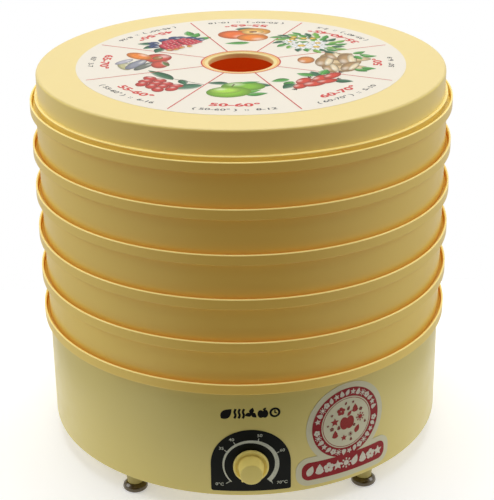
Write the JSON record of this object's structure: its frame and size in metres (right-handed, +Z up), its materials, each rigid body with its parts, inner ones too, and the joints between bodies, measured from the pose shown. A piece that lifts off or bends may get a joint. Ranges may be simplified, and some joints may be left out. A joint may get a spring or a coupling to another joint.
{
  "type": "food dehydrator",
  "caption": "Round stacking food dehydrator: a powered base with a thermostat dial, lift-off trays with open grid floors, and a vented lid.",
  "frame": {"origin": "on the floor, under the axis of the stack", "axes": "+Z up the stack, -Y towards the dial, +X to the right of someone facing the dial"},
  "size_m": [0.39, 0.414, 0.367],
  "materials": {
    "cream_plastic": "satin moulded",
    "tray_plastic": "satin moulded, slightly translucent",
    "label_print": "matt print",
    "foot_rubber": "glossy",
    "panel_black": "satin film",
    "badge_print": "satin film",
    "screw_steel": "plain",
    "heater_steel": "heat-tinted",
    "motor_steel": "plain",
    "aluminium": "plain",
    "white_ceramic": "matt",
    "white_plastic": "matt",
    "black_plastic": "matt",
    "winding": "enamelled copper wire",
    "bush_brass": "sintered",
    "wire_red": "insulation"
  },
  "bodies": {
    "base": {"base_rim": "cream_plastic", "base_housing": "cream_plastic", "bottom_plate": "cream_plastic", "foot_front_left": "foot_rubber", "foot_front_right": "foot_rubber", "foot_rear_left": "foot_rubber", "foot_rear_right": "foot_rubber", "bottom_plate_screws": "screw_steel", "dial_panel": "panel_black", "badge_sticker": "badge_print", "thermostat_body": "white_ceramic", "thermostat_nut": "screw_steel", "deck_plate": "cream_plastic", "fan_duct": "aluminium", "heater_element": "heater_steel", "heater_brackets": "screw_steel", "heater_insulators": "white_ceramic", "thermal_fuse": "aluminium", "motor_core": "motor_steel", "motor_bobbin": "white_plastic", "motor_coil": "winding", "motor_brackets": "screw_steel", "motor_bushes": "bush_brass", "motor_screws": "screw_steel", "terminal_block": "white_plastic", "internal_wires": "wire_red", "cord_gland": "black_plastic", "gland_nut": "black_plastic", "cord_clamp": "white_plastic", "clamp_screws": "screw_steel"},
    "tray_5": {"tray_5": "tray_plastic", "tray_5_grid": "tray_plastic"},
    "tray_4": {"tray_4": "tray_plastic", "tray_4_grid": "tray_plastic"},
    "tray_3": {"tray_3": "tray_plastic", "tray_3_grid": "tray_plastic"},
    "tray_2": {"tray_2": "tray_plastic", "tray_2_grid": "tray_plastic"},
    "tray_1": {"tray_1": "tray_plastic", "tray_1_grid": "tray_plastic"},
    "lid": {"lid": "cream_plastic", "lid_label": "label_print"},
    "dial": {"knob": "cream_plastic", "thermostat_shaft": "aluminium"},
    "fan": {"impeller": "black_plastic", "impeller_clip": "screw_steel", "motor_rotor": "motor_steel", "motor_shaft": "screw_steel"}
  },
  "joints": [
    {"name": "tray_5_lift", "type": "slide", "parent": "base", "child": "tray_5", "axis": [0, 0, 1], "range_m": [0, 0.06]},
    {"name": "tray_4_lift", "type": "slide", "parent": "tray_5", "child": "tray_4", "axis": [0, 0, 1], "range_m": [0, 0.06]},
    {"name": "tray_3_lift", "type": "slide", "parent": "tray_4", "child": "tray_3", "axis": [0, 0, 1], "range_m": [0, 0.06]},
    {"name": "tray_2_lift", "type": "slide", "parent": "tray_3", "child": "tray_2", "axis": [0, 0, 1], "range_m": [0, 0.06]},
    {"name": "tray_1_lift", "type": "slide", "parent": "tray_2", "child": "tray_1", "axis": [0, 0, 1], "range_m": [0, 0.06]},
    {"name": "lid_lift", "type": "slide", "parent": "tray_1", "child": "lid", "axis": [0, 0, 1], "range_m": [0, 0.08]},
    {"name": "dial_turn", "type": "hinge", "parent": "base", "child": "dial", "pos_m": [0, -0.19, 0.0524], "axis": [0, 1, 0], "range_deg": [0, 290]},
    {"name": "fan_spin", "type": "hinge", "parent": "base", "child": "fan", "pos_m": [0, 0, 0.07], "axis": [0, 0, 1], "continuous": true}
  ]
}
